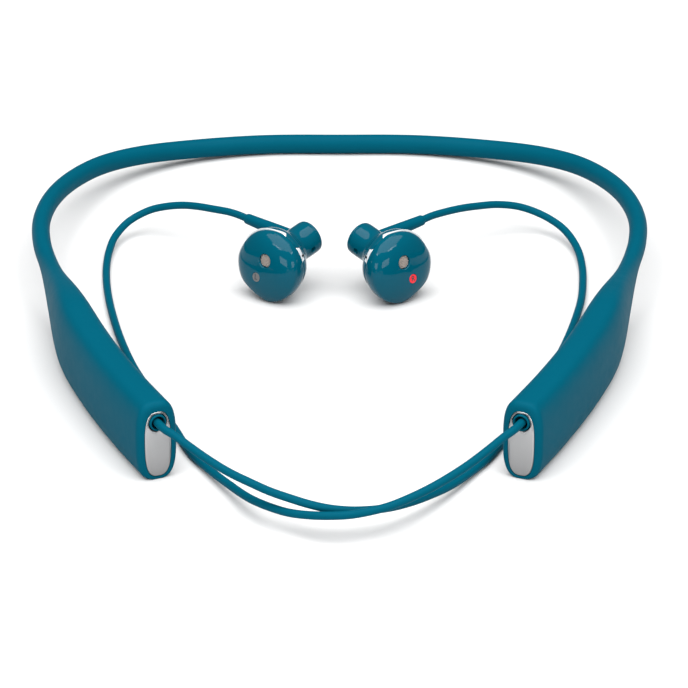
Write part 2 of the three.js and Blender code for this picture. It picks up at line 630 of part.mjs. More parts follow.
function earbud(side, isLeft, centre) {
  const group = new THREE.Group();
  group.position.set(...centre);
  group.rotation.order = 'ZXY';
  const lie = isLeft ? 1 : -1;
  group.rotation.z = -lie * radians(BUD_YAW);
  group.rotation.x = radians(90 - BUD_PITCH);
  earphones.add(group);
  const put = (name, geometry, material) =>
    add(group, `${side}_bud_${name}`, isLeft ? geometry : mirrored(geometry), material);

  const port = rod(SOUND_PORT.radius, 0, 6, 14).translate(SOUND_PORT.x, SOUND_PORT.y, 0);
  const markSeat = rod(SIDE_MARK.radius + 0.15, 2.4, 6, 12).translate(SIDE_MARK.x, SIDE_MARK.y, 0);
  put('front_shell', cut(budForm(0, 22), budForm(BUD_WALL, 16), port, markSeat), glossTeal);
  const mesh = rod(SOUND_PORT.radius - GAP, 2.2, 2.5, 12).translate(SOUND_PORT.x, SOUND_PORT.y, 0);
  put('port_mesh', mesh, meshGrey);
  const mark = rod(SIDE_MARK.radius, 2.55, 2.82, 12).translate(SIDE_MARK.x, SIDE_MARK.y, 0);
  put('side_mark', mark, isLeft ? markGrey : markRed);

  const ringOuter = [[RING_DISTANCE + GAP, 8.15], [RING_DISTANCE + 1.3, 7.7]];
  const ring = openShell(
    ringOuter.map(([distance, radius]) => barrelRing(distance, radius, 24)),
    ringOuter.map(([distance, radius]) => barrelRing(distance, radius - 0.9, 24)),
  );
  put('trim_ring', cut(ring, rimFlat()), chrome);

  const rear = [[RING_DISTANCE + 1.6, 7.45], [7, 6.6], [8, 5.4], [8.9, 4.6], [10.2, BARREL_RADIUS],
    [BARREL_END - 1, BARREL_RADIUS]];
  const shell = openShell(
    rear.map(([distance, radius]) => barrelRing(distance, radius, 18)),
    rear.map(([distance, radius]) => barrelRing(distance, radius - 0.8, 18)),
  );
  const bootHole = rod(1.5, 2, 6, 10, bootAxis, bootOrigin);
  const ventAxis = new THREE.Vector3(1, -0.2, 0).projectOnPlane(barrelAxis).normalize();
  const ventHole = rod(0.75, 2, 6, 8, ventAxis, barrelAxis.clone().multiplyScalar(VENT_DISTANCE));
  put('rear_shell', cut(shell, bootHole, ventHole), glossTeal);

  const capProfile = [[-0.5, 0], [-0.5, 3], [0.3, 3], [0.3, 4.25], [0.75, 4.1], [1, 3.7], [1, 0]];
  const capFoot = barrelAxis.clone().multiplyScalar(BARREL_END - 1);
  put('barrel_cap', turned(capProfile, 18, barrelAxis, capFoot), glossTeal);

  const driverFrame = [[-1.3, 0], [-1.3, 6.6], [-0.3, 6.6], [-0.3, 0]];
  const magnet = [[-4.4, 0], [-4.4, 4.4], [-1.2, 4.4], [-1.2, 0]];
  put('driver', join(turned(driverFrame, 18, UP), turned(magnet, 16, UP)), steel);
  put('diaphragm', turned([[0, 0], [0, 6.6], [0.25, 6.6], [0.75, 3], [0.55, 0]], 18, UP), film);

  const bootForm = turned([[3, 0], [3, 1.75], [6, 1.75], [12, 1.6], [BOOT_LENGTH - 0.5, 1.35],
    [BOOT_LENGTH, 1.15], [BOOT_LENGTH, 0]], 10, bootAxis, bootOrigin);
  const clearance = rod(BARREL_RADIUS + GAP, 5, 30, 18, barrelAxis);
  const neck = rod(1.2, 2.9, 5.5, 10, bootAxis, bootOrigin);
  put('cable_boot', join(cut(bootForm, clearance), neck), softTeal);
}

// ---------------------------------------------------------------- the cables
function cable(route) {
  const path = new THREE.CatmullRomCurve3(route.map((p) => new THREE.Vector3(...p)), false, 'centripetal');
  path.arcLengthDivisions = 1200;
  const shape = new THREE.Shape(ellipse(CABLE_RADIUS, CABLE_RADIUS, CABLE_SIDES));
  return new THREE.ExtrudeGeometry(shape, { extrudePath: path, steps: 52, bevelEnabled: false });
}

neckband();
rightModule();
leftModule();
earbud('left', true, [-17.74, 1.33, 9.15]);
earbud('right', false, [15.26, 0.42, 9.15]);
add(earphones, 'right_cable', cable(RIGHT_CABLE), softTeal);
add(earphones, 'left_cable', cable(LEFT_CABLE), softTeal);

export default earphones;
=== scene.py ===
"""Neckband earphones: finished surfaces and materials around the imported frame.

Metres, +Z up. The wearer faces -Y, so the wearer's right is at -X. Forms are drawn in millimetres, and the
modules' at -X only: build() turns them into metres and mirrors them for the other side.
"""

import math

import bmesh
import bpy
import numpy as np
from mathutils import Matrix, Vector


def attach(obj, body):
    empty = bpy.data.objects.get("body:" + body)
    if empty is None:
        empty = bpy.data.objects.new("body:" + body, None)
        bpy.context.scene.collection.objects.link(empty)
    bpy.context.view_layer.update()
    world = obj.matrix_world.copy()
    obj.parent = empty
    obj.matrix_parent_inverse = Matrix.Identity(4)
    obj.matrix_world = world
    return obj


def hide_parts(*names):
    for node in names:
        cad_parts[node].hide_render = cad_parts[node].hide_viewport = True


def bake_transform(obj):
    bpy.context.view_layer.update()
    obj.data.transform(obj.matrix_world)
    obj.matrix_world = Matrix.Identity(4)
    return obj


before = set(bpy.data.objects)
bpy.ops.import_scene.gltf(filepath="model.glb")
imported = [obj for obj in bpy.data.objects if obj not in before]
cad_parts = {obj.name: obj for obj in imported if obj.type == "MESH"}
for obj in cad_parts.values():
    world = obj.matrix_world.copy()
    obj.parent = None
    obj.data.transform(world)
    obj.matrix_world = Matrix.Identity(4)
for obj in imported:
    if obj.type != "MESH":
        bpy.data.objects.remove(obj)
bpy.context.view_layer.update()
MM = 0.001

# ---------------------------------------------------------------- camera
CAMERA_DISTANCE = 1.001
CAMERA_ELEVATION = math.radians(24.92)
CAMERA_TARGET = Vector((0, -0.0250, 0))
CAMERA_LENS = 216.9
CAMERA_SHIFT = 0.0065


def aimed(obj, position, target):
    obj.location = position
    obj.rotation_euler = (Vector(target) - Vector(position)).to_track_quat("-Z", "Y").to_euler()
    bpy.context.scene.collection.objects.link(obj)
    return obj


def add_camera():
    data = bpy.data.cameras.new("camera")
    data.lens = CAMERA_LENS
    data.shift_x = CAMERA_SHIFT
    back = Vector((0, -math.cos(CAMERA_ELEVATION), math.sin(CAMERA_ELEVATION)))
    position = CAMERA_TARGET + CAMERA_DISTANCE * back
    bpy.context.scene.camera = aimed(bpy.data.objects.new("camera", data), position, CAMERA_TARGET)


add_camera()

# ---------------------------------------------------------------- sizes
CABLE_DIAMETER = 1.9
CABLE_IN_GLAND = 3.0  # further than the route's ends, where a housing hides it
CABLE_IN_BOOT = 1.5

# Cable routes in millimetres, from the module's gland to the earbud's boot.
RIGHT_CABLE = [
    (-40.6, -97.85, 14.2), (-39.2, -100.5, 14.1), (-36.8, -102.9, 13.7), (-33.3, -106.2, 12.5),
    (-28.9, -110.3, 11.2), (-24.4, -113.9, 10), (-19.8, -117, 9.1), (-15.2, -120.1, 8.4),
    (-10.7, -122.3, 7.8), (-6.4, -124.2, 7.3), (-2.1, -125.2, 6.8), (2.3, -124.9, 6.2), (6.7, -123.5, 5.6),
    (11.1, -120.9, 4.9), (15.6, -116.9, 4.1), (20.1, -111.6, 3.2), (24.7, -105.1, 2.2), (29.5, -96.8, 1.4),
    (34.5, -87.2, 1), (39.6, -73.6, 0.95), (44.9, -58.1, 0.95), (50.2, -42.1, 0.95), (54.6, -26.1, 0.95),
    (57.6, -12.6, 0.95), (59.6, -1.1, 0.95), (60.6, 9.9, 0.95), (60.9, 18.9, 1), (60.3, 27.9, 1.6),
    (58.4, 35.1, 2.6), (55.9, 39.5, 3.6), (51.3, 43.3, 5), (46.2, 44.1, 6.6), (40.6, 42.1, 8.1),
    (35, 38, 9.4), (30.8, 34.2, 10.4), (26.6, 30.2, 11.1), (23.2, 26.8, 11.5), (20.97, 24.45, 11.48),
]
LEFT_CABLE = [
    (40.6, -97.85, 14.2), (39.2, -100.5, 14.1), (36.8, -103.1, 13.5), (33.4, -107.3, 12.6),
    (28.8, -112.1, 11.2), (24.1, -116.4, 10), (19.6, -120.2, 9.1), (15.2, -123.4, 8.4), (11, -125.9, 7.8),
    (6.7, -127.4, 7.3), (2.3, -128.1, 6.8), (-2.1, -127.6, 6.3), (-6.4, -126, 5.6), (-10.9, -123.5, 4.9),
    (-15.3, -119.2, 4.1), (-19.9, -113.2, 3.2), (-24.5, -105, 2.3), (-29.3, -95.7, 1.5), (-34, -85.8, 1),
    (-38, -73.6, 0.95), (-43.4, -57.1, 0.95), (-49, -40.1, 0.95), (-52.9, -24.1, 0.95),
    (-55.5, -10.1, 0.95), (-57.1, 0.9, 0.95), (-58.1, 10.9, 0.95), (-58.5, 19.9, 1), (-58.2, 27.9, 1.5),
    (-56.9, 35.2, 2.5), (-53.5, 40.9, 4.2), (-48.5, 42.9, 6.2), (-44.2, 41.8, 7.7), (-40, 39.5, 9),
    (-35.9, 35.9, 10.2), (-31.7, 32.5, 10.9), (-27.8, 29.5, 11.4), (-25.1, 27.1, 11.5),
    (-23.45, 25.36, 11.48),
]

# The band's centre line, from the middle of its back, which lies on the floor, to one module's front end.
HALF_LINE = [
    (0, 96.45, 2.65), (-20.4, 96, 2.7), (-38.6, 90.6, 3.6), (-52.6, 81.85, 5.35), (-62.05, 71.45, 6.95),
    (-69.05, 57.45, 8.5), (-73.35, 42.1, 9.7), (-75, 27.4, 10), (-74, 12.9, 10), (-70.9, -3.1, 10),
    (-67.2, -20.6, 10), (-62.2, -42.1, 10), (-56.1, -61.1, 10), (-48.8, -79.6, 10), (-40.8, -97.25, 10),
]

TUBE_HEIGHT = 5.1
TUBE_WIDTH = 4.5
BORE_HEIGHT = 3.9
BORE_WIDTH = 2.9
CORE_RADIUS = 0.65
HARNESS_RADIUS = 0.6
MODULE_HEIGHT = 19.0
MODULE_THICKNESS = 9.8
MODULE_SINK = 0.25  # cut flat by this much underneath
MODULE_SQUARENESS = 3.1
CASING_START = 140.5
CAVITY_START = 158.5
CAVITY_RUN = 12
TAPER_HEIGHT_RUN = 48
TAPER_THICKNESS_RUN = 56
CASING_WALL = 1.2
FRONT_ROUNDING = 1.5
FRONT_WALL = 2.6
COVER_START = 172.5
COVER_END_MARGIN = 5.2
COVER_MARGIN = 2.9
CORE_END = 162.5
INNER_LINE_OFFSET = 0.85
SEAM = 0.13
SKIN_SIDES = 64

PLATE = {"half_thickness": 3.2, "bottom": 0.75, "top": 16.8, "squareness": 2.9}
GLAND_LEVEL = 14.2
GLAND_RADIUS = 2.2
GLAND_BORE = 1.5
KEY_PROUD = 0.6
KEY_SKIN = 1.6
LENS_FOOT = 1.4  # how far inside the line the status light's lens begins
KEY_STEM_START = 3.1

POWER_KEY = {"distance": 186.5, "level": 9.6, "length": 7, "height": 4}
CALL_KEY = {"distance": 210.5, "level": 9.4, "length": 13, "height": 5}
PLAY_KEY = {"distance": 186.5, "level": 9.6, "length": 9, "height": 4.6}
VOLUME_ROCKER = {"distance": 208.5, "level": 9.4, "length": 20, "height": 5}
STATUS_LIGHT = {"distance": 197.5, "level": 9.4, "length": 1.7, "height": 1.7}
MICROPHONE = {"distance": 226.5, "level": 13.1, "length": 1.5, "height": 1.5}
USB_SOCKET = {"distance": 228, "level": 7.2, "length": 7.6, "height": 2.9}
VOLUME_SPREAD = 7

BUD_CENTRES = {"left": (-17.74, 1.33, 9.15), "right": (15.26, 0.42, 9.15)}
BUD_YAW = math.radians(39.8)
BUD_PITCH = math.radians(7.6)
BUD_SIDES = 144
BUD_RADIUS = 9.05
BUD_FLAT = 7.85
BUD_FLAT_ANGLE = math.radians(243)
BUD_WALL = 0.9
BARREL_RADIUS = 4.25
BARREL_TILT = math.radians(20)
BARREL_SWING = math.radians(4.4)
BARREL_END = 15.5
RING_DISTANCE = 4.4
BOOT_DISTANCE = 12.5
BOOT_LENGTH = 20.6
BOOT_SWEEP = math.radians(7.3)
VENT_DISTANCE = 12
SOUND_PORT = {"x": 1.3, "y": 2.05, "radius": 1.75}
SIDE_MARK = {"x": -1.0, "y": -2.8, "radius": 1.15}


# ---------------------------------------------------------------- lines and rings
def catmull_rom(points, per_span=60):
    """Dense points on the smooth line through points."""
    p = np.array(points, float)
    p = np.vstack([2 * p[0] - p[1], p, 2 * p[-1] - p[-2]])
    t = np.linspace(0, 1, per_span, endpoint=False)[:, None]
    dense = []
    for a, b, c, d in zip(p, p[1:], p[2:], p[3:]):
        ab, bc, cd = (math.sqrt(np.linalg.norm(v)) for v in (b - a, c - b, d - c))
        start = ((b - a) / ab - (c - a) / (ab + bc) + (c - b) / bc) * bc
        end = ((c - b) / bc - (d - b) / (bc + cd) + (d - c) / cd) * bc
        curve = (3 * (c - b) - 2 * start - end) * t**2 + (2 * (b - c) + start + end) * t**3
        dense.append(b + start * t + curve)
    return np.vstack([*dense, p[-2][None]])


def unit(vector):
    vector = np.asarray(vector, float)
    return vector / np.linalg.norm(vector)


class Line:
    """A smooth line through points, read by the distance along it. zero is its share before distance 0."""

    def __init__(self, points, zero=0.0):
        self.dense = catmull_rom(points)
        steps = np.linalg.norm(np.diff(self.dense, axis=0), axis=1)
        self.at = np.concatenate([[0.0], np.cumsum(steps)])
        self.at -= zero * self.at[-1]

    def place(self, distance):
        return np.array([np.interp(distance, self.at, self.dense[:, k]) for k in range(3)])

    def forward(self, distance):
        reach = 0.4
        return unit(self.place(distance + reach) - self.place(distance - reach))


UP = np.array([0.0, 0.0, 1.0])
band_line = Line([(-x, y, z) for x, y, z in HALF_LINE[:0:-1]] + HALF_LINE, 0.5)
LINE_END = band_line.at[-1]


def inward(distance):
    return unit(np.cross(UP, band_line.forward(distance)))


def smooth(value):
    t = min(max(value, 0.0), 1.0)
    return t * t * (3 - 2 * t)


def lerp(a, b, t):
    return a + (b - a) * t


def casing_section(distance):
    rise = smooth((distance - CASING_START) / TAPER_HEIGHT_RUN)
    swell = smooth((distance - CASING_START) / TAPER_THICKNESS_RUN)
    return {
        "half_height": lerp(TUBE_HEIGHT / 2, (MODULE_HEIGHT + MODULE_SINK) / 2, rise),
        "half_thickness": lerp(TUBE_WIDTH / 2, MODULE_THICKNESS / 2, swell),
        "level": lerp(band_line.place(distance)[2], (MODULE_HEIGHT - MODULE_SINK) / 2, rise),
        "squareness": lerp(2, MODULE_SQUARENESS, rise),
    }


def section_ring(distance, section, sides=SKIN_SIDES, push=0.0):
    """One ring of the skin, cut flat at the floor. push moves it forward along the line."""
    at = min(distance, LINE_END)
    angle = 2 * np.pi * (np.arange(sides) + 0.5) / sides
    c, s = np.cos(angle), np.sin(angle)
    power = 2 / section["squareness"]
    across = section["half_thickness"] * np.sign(c) * np.abs(c) ** power
    height = section["level"] + section["half_height"] * np.sign(s) * np.abs(s) ** power
    ring = band_line.place(at) + push * band_line.forward(at) + across[:, None] * inward(at)
    ring[:, 2] = np.maximum(height, 0)
    return ring


def loft(rings, loop=False):
    """Vertices and faces of a closed skin through rings. It has flat ends, or closes on itself."""
    count = len(rings[0])
    faces = []
    for i in range(len(rings) if loop else len(rings) - 1):
        a, b = i * count, (i + 1) % len(rings) * count
        faces += [(a + j, a + (j + 1) % count, b + (j + 1) % count, b + j) for j in range(count)]
    if not loop:
        last = (len(rings) - 1) * count
        faces.append(tuple(range(count))[::-1])
        faces.append(tuple(last + j for j in range(count)))
    return np.vstack(rings), faces


def circle(radius, sides):
    angle = 2 * np.pi * np.arange(sides) / sides
    return np.stack([radius * np.cos(angle), radius * np.sin(angle), np.zeros(sides)], axis=1)


def turned(profile, sides=48, loop=False):
    """A round form about +Z from (height, radius) pairs."""
    return loft([circle(radius, sides) + (0, 0, height) for height, radius in profile], loop)


def tube(points, radius, sides=16):
    """A round tube that follows points."""
    points = np.asarray(points, float)
    ahead = np.gradient(points, axis=0)
    ahead /= np.linalg.norm(ahead, axis=1)[:, None]
    side = unit(np.cross(ahead[0], UP if abs(ahead[0][2]) < 0.9 else (1, 0, 0)))
    angle = 2 * np.pi * np.arange(sides)[:, None] / sides
    rings = []
    for point, forward in zip(points, ahead):
        side = unit(side - forward * (side @ forward))
        over = np.cross(forward, side)
        rings.append(point + radius * (np.cos(angle) * side + np.sin(angle) * over))
    return loft(rings)


def outline(length, height, corner, steps=8):
    """A rounded rectangle round the origin, in the plane of Y and Z."""
    x, y = length / 2 - corner, height / 2 - corner
    points = []
    for quarter, (cx, cy) in enumerate([(x, y), (-x, y), (-x, -y), (x, -y)]):
        for step in range(steps + 1):
            angle = (quarter + step / steps) * math.pi / 2
            points.append((0, cx + corner * math.cos(angle), cy + corner * math.sin(angle)))
    return np.array(points)


def pill(length, height, start, end, rounding=0.3, corner=None, crown=0.0):
    """A key-like slab from start to end along +X with a rounded upper edge, crowned a little if asked."""
    corner = min(length, height) / 2 - 0.01 if corner is None else corner
    rings = [outline(length, height, corner) + (start, 0, 0)]
    for angle in np.radians([0, 22, 45, 67, 90]):
        inset = rounding * (1 - math.cos(angle))
        ring = outline(length - 2 * inset, height - 2 * inset, max(corner - inset, 0.02))
        rings.append(ring + (end - rounding * (1 - math.sin(angle)), 0, 0))
    top = rings[-1] - (end, 0, 0)
    rings += [top * scale + (end + crown * (1 - scale * scale), 0, 0) for scale in (0.85, 0.6, 0.3)]
    return loft(rings)


def moved(form, matrix):
    vertices, faces = form
    homogeneous = np.hstack([vertices, np.ones((len(vertices), 1))])
    return (homogeneous @ np.array(matrix).T)[:, :3], faces


def shifted(form, x=0.0, y=0.0, z=0.0):
    return moved(form, Matrix.Translation((x, y, z)))


def joined(*forms):
    vertices, faces, base = [], [], 0
    for form_vertices, form_faces in forms:
        vertices.append(form_vertices)
        faces += [tuple(i + base for i in face) for face in form_faces]
        base += len(form_vertices)
    return np.vstack(vertices), faces


def along(axis, origin):
    """Turns +Z to axis and moves the origin."""
    turn = Vector((0, 0, 1)).rotation_difference(Vector(axis))
    return Matrix.Translation(Vector(origin)) @ turn.to_matrix().to_4x4()


def standing(distance, level=0.0):
    """The place on the module's line: +X to the inner side, -Y forward, Z up."""
    x, y, _ = band_line.place(distance)
    ahead, inner = band_line.forward(distance), inward(distance)
    return Matrix(((inner[0], -ahead[0], 0, x), (inner[1], -ahead[1], 0, y), (0, 0, 1, level), (0, 0, 0, 1)))


# ---------------------------------------------------------------- objects
def build(name, form, is_left=False, sharp=35):
    """A mesh object in metres from a form in millimetres, mirrored for the left module."""
    vertices, faces = form
    mesh = bpy.data.meshes.new(name)
    mesh.from_pydata((vertices * MM * ((-1, 1, 1) if is_left else (1, 1, 1))).tolist(), [], faces)
    tidy = bmesh.new()
    tidy.from_mesh(mesh)
    bmesh.ops.recalc_face_normals(tidy, faces=tidy.faces)
    if tidy.calc_volume(signed=True) < 0:
        bmesh.ops.reverse_faces(tidy, faces=tidy.faces)
    tidy.to_mesh(mesh)
    tidy.free()
    obj = bpy.data.objects.new(name, mesh)
    bpy.context.scene.collection.objects.link(obj)
    soften(obj, sharp)
    return obj


def soften(obj, sharp=35):
    obj.data.shade_smooth()
    obj.data.set_sharp_from_angle(angle=math.radians(sharp))


def combine(obj, form, operation="DIFFERENCE", is_left=False, sharp=35):
    """Cuts a form out of obj, or keeps what lies in it."""
    tool = build("tool", form, is_left)
    modifier = obj.modifiers.new("combine", "BOOLEAN")
    modifier.operation = operation
    modifier.solver = "EXACT"
    modifier.object = tool
    bpy.context.view_layer.update()
    evaluated = obj.evaluated_get(bpy.context.evaluated_depsgraph_get())
    mesh = bpy.data.meshes.new_from_object(evaluated)
    obj.modifiers.clear()
    obj.data = mesh
    bpy.data.objects.remove(tool)
    soften(obj, sharp)


def finish_piece(obj, body, slot, look, *nodes):
    obj.data.materials.clear()
    obj.data.materials.append(look)
    if nodes:
        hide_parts(*nodes)
    if body:
        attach(obj, body)
    return obj


# ---------------------------------------------------------------- materials
class Nodes:
    """A material's node tree, with short ways to add to it."""

    def __init__(self, name):
        self.material = bpy.data.materials.new(name)
        self.material.use_nodes = True
        self.tree = self.material.node_tree
        self.shader = self.tree.nodes["Principled BSDF"]
        self.place = self.add("ShaderNodeTexCoord").outputs["Object"]

    def add(self, kind, **values):
        node = self.tree.nodes.new(kind)
        for name, value in values.items():
            if name in node.inputs:
                node.inputs[name].default_value = value
            else:
                setattr(node, name, value)
        return node

    def link(self, output, socket):
        self.tree.links.new(output, socket)

    def noise(self, scale, detail=3.0, roughness=0.55):
        node = self.add("ShaderNodeTexNoise")
        node.inputs["Scale"].default_value = scale
        node.inputs["Detail"].default_value = detail
        node.inputs["Roughness"].default_value = roughness
        self.link(self.place, node.inputs["Vector"])
        return node.outputs["Fac"]

    def ranged(self, source, low, high, start=0.3, end=0.7):
        node = self.add("ShaderNodeMapRange")
        for name, value in (("From Min", start), ("From Max", end), ("To Min", low), ("To Max", high)):
            node.inputs[name].default_value = value
        self.link(source, node.inputs["Value"])
        return node.outputs["Result"]

    def mix(self, factor, first, second):
        node = self.add("ShaderNodeMix", data_type="RGBA")
        for socket, value in ((node.inputs[6], first), (node.inputs[7], second)):
            if isinstance(value, bpy.types.NodeSocket):
                self.link(value, socket)
            else:
                socket.default_value = (*value, 1)
        self.link(factor, node.inputs[0])
        return node.outputs[2]

    def bump(self, height, strength, distance):
        node = self.add("ShaderNodeBump")
        node.inputs["Strength"].default_value = strength
        node.inputs["Distance"].default_value = distance
        self.link(height, node.inputs["Height"])
        self.link(node.outputs["Normal"], self.shader.inputs["Normal"])
        return node


def surface(name, colour, roughness, metallic=0.0, vary=0.06, spread=0.06, patch=60.0, grain=None, painted_shade=None,
            **sockets):
    """A finish whose colour and roughness drift a little.

    grain is (scale, strength, depth in metres). painted_shade is (low Z, high Z, how dark it is at the low
    one): painted shade that darkens the colour towards the bottom.
    """
    nodes = Nodes(name)
    drift = nodes.noise(patch, 4.0)
    darker = tuple(c * (1 - vary) for c in colour)
    lighter = tuple(min(c * (1 + vary), 1) for c in colour)
    colour_out = nodes.mix(nodes.ranged(drift, 0, 1), darker, lighter)
    # painted shade: the colour is mixed darker towards low Z, near the floor
    if painted_shade:
        low, high, depth = painted_shade
        split = nodes.add("ShaderNodeSeparateXYZ")
        nodes.link(nodes.place, split.inputs[0])
        height = nodes.ranged(split.outputs["Z"], 0, 1, low, high)
        colour_out = nodes.mix(height, tuple(c * depth for c in colour), colour_out)
    nodes.link(colour_out, nodes.shader.inputs["Base Color"])
    rough = nodes.ranged(nodes.noise(patch * 7, 5.0), roughness - spread, roughness + spread)
    nodes.link(rough, nodes.shader.inputs["Roughness"])
    nodes.shader.inputs["Metallic"].default_value = metallic
    for socket, value in sockets.items():
        nodes.shader.inputs[socket.replace("_", " ")].default_value = value
    if grain:
        scale, strength, depth = grain
        nodes.bump(nodes.noise(scale, 2.0), strength, depth)
    return nodes.material


TEAL = (0.0, 0.067, 0.106)
BUD_TEAL = (0.0, 0.064, 0.1)
RUBBER = {"vary": 0.02, "spread": 0.03, "grain": (3000, 0.12, 0.00003), "IOR": 1.08}
looks = {
    "band": surface("band_rubber", TEAL, 0.5, **RUBBER),
    "key": surface("key_plastic", tuple(c * 0.92 for c in TEAL), 0.42, **RUBBER),
    "cable": surface("cable_rubber", TEAL, 0.46, **RUBBER),
    "bud": surface("bud_gloss", BUD_TEAL, 0.05, vary=0.02, spread=0.01, IOR=1.22),
    # The plate's silver has painted shade, darker towards its bottom near the floor.
    "plate": surface("plate_silver", (0.44, 0.44, 0.445), 0.33, metallic=0.95, vary=0.02, spread=0.03,
                     grain=(1800, 0.04, 0.00002), painted_shade=(0.001, 0.013, 0.62)),
    "chrome": surface("trim_chrome", (0.93, 0.94, 0.95), 0.16, metallic=0.45, vary=0.02, spread=0.02),
    "wire": surface("port_wire", (0.5, 0.44, 0.4), 0.38, metallic=0.75, vary=0.1),
    "cloth": surface("port_cloth", (0.12, 0.105, 0.1), 0.9, vary=0.2, patch=900),
    "grey": surface("mark_grey", (0.11, 0.11, 0.112), 0.35, vary=0.05),
    "red": surface("mark_red", (0.68, 0.006, 0.018), 0.3, vary=0.05),
    "glyph": surface("mark_glyph", (0.02, 0.025, 0.03), 0.4, vary=0.1),
    "black": surface("black_rubber", (0.012, 0.014, 0.016), 0.75, vary=0.2, grain=(1500, 0.2, 0.00004)),
    "spring": surface("spring_steel", (0.5, 0.5, 0.51), 0.32, metallic=1.0, grain=(900, 0.1, 0.00003)),
    "steel": surface("small_steel", (0.6, 0.6, 0.6), 0.28, metallic=1.0, grain=(1200, 0.08, 0.00002)),
    "board": surface("board_green", (0.01, 0.09, 0.035), 0.4, vary=0.2, patch=350),
    "foil": surface("battery_foil", (0.62, 0.63, 0.65), 0.3, metallic=0.9, grain=(260, 0.35, 0.0001)),
    "film": surface("film", (0.7, 0.62, 0.4), 0.35, vary=0.1),
    "lens": surface("light_pipe", (0.75, 0.8, 0.8), 0.15, vary=0.03, Transmission_Weight=0.5),
}


# ---------------------------------------------------------------- cables
def cable(name, route, node):
    """A round cable along its route, which runs on a little into the gland and the boot, where they hide it.
    """
    start, after, before, end = (np.array(route[i], float) for i in (0, 1, -2, -1))
    gland_axis = unit(start - after)
    hidden_start = start + CABLE_IN_GLAND * gland_axis
    hidden_end = end + CABLE_IN_BOOT * unit(end - before)
    points = [tuple(hidden_start), *route, tuple(hidden_end)]
    line = Line(points)
    length = line.at[-1]
    path = np.array([line.place(d) for d in np.linspace(0, length, int(length / 1.1))])
    obj = build(name, tube(path, CABLE_DIAMETER / 2, 20))
    finish_piece(obj, None, "cable_rubber", looks["cable"], node)
    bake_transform(obj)


cable("right_cable_line", RIGHT_CABLE, "right_cable")
cable("left_cable_line", LEFT_CABLE, "left_cable")


# ---------------------------------------------------------------- the band and the modules' shells
def outer_rings(start):
    """The outer skin from a distance on, ending in a rounded edge round a flat front."""
    count = int((LINE_END - FRONT_ROUNDING - start) / 1.15)
    span = np.linspace(start, LINE_END - FRONT_ROUNDING, count)
    rings = [section_ring(d, casing_section(d)) for d in span]
    for angle in np.radians(np.arange(10, 91, 10)):
        inset = FRONT_ROUNDING * (1 - math.cos(angle))
        section = casing_section(LINE_END)
        section["half_thickness"] -= inset
        section["half_height"] -= inset * 2 / 3
        section["level"] -= inset / 3
        rings.append(section_ring(LINE_END - FRONT_ROUNDING * (1 - math.sin(angle)), section))
    return rings


def hollow(wall, start, end, steps):
    """The outer skin drawn in by a wall. Behind CAVITY_START only the tube's bore goes on."""
    rings = []
    for distance in np.linspace(start, end, steps):
        section = casing_section(distance)
        opened = smooth((distance - CAVITY_START) / CAVITY_RUN)
        section["half_thickness"] = lerp(BORE_WIDTH / 2, section["half_thickness"] - wall, opened)
        section["half_height"] = lerp(BORE_HEIGHT / 2, section["half_height"] - wall, opened)
        rings.append(section_ring(distance, section, 32))
    return loft(rings)


def cover_block(grow):
    """A block through the inner wall in the cover's outline, grown by a margin."""
    end = LINE_END - COVER_END_MARGIN
    middle, reach = (COVER_START + end) / 2, (end - COVER_START) / 2 + grow
    rings = []
    for t in np.sin(np.linspace(-np.pi / 2, np.pi / 2, 81)):
        distance = middle + t * reach
        section = casing_section(distance)
        height = (section["half_height"] - COVER_MARGIN + grow) * (1 - abs(t) ** 6) ** 0.4
        height = max(height, 0.9 + grow)
        foot, inner = band_line.place(distance), inward(distance)
        ring = []
        for across, lift in ((0.8, -height), (9, -height), (9, height), (0.8, height)):
            point = foot + across * inner
            ring.append((point[0], point[1], section["level"] + lift))
        rings.append(np.array(ring))
    return loft(rings)


def plate_section(grow):
    bottom, top = PLATE["bottom"] - grow, PLATE["top"] + grow
    return {
        "half_thickness": PLATE["half_thickness"] + grow,
        "half_height": (top - bottom) / 2,
        "level": (top + bottom) / 2,
        "squareness": PLATE["squareness"],
    }


def gland_place():
    centre = band_line.place(LINE_END)
    centre[2] = GLAND_LEVEL
    return along(band_line.forward(LINE_END), centre)


def key_hole(key, gap=0.28):
    length, height = key["length"] + 2 * gap, key["height"] + 2 * gap
    slab = pill(length, height, 1.5, 9, rounding=0.01)
    return moved(slab, standing(key["distance"], key["level"]))


def band_half(side, is_left):
    rings = outer_rings(0)
    skin = build(f"{side}_band_skin", loft(rings), is_left)
    combine(skin, hollow(CASING_WALL, -1, LINE_END - FRONT_WALL, 120), is_left=is_left)
    combine(skin, cover_block(SEAM), is_left=is_left)
    recess = plate_section(0.04)
    combine(skin, loft([section_ring(LINE_END, recess, push=by) for by in (-1.3, 4)]), is_left=is_left)
    gland_hole = turned([(-8, GLAND_RADIUS + 0.3), (4, GLAND_RADIUS + 0.3)])
    combine(skin, moved(gland_hole, gland_place()), is_left=is_left)
    nodes = ("band_back_sleeve", f"{side}_flex_sleeve", f"{side}_arm_sleeve", f"{side}_casing")
    finish_piece(skin, None, "module_plastic", looks["band"], *nodes)
    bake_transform(skin)


def inner_strand(name, is_left, lift, radius, slot, look, node):
    """Half of a strand inside the tube, bent at the corner as the tube is."""
    line = np.array([band_line.place(d) for d in np.linspace(0, CORE_END, 110)]) + (0, 0, lift)
    obj = finish_piece(build(name, tube(line, radius, 12), is_left), None, slot, look, node)
    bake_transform(obj)


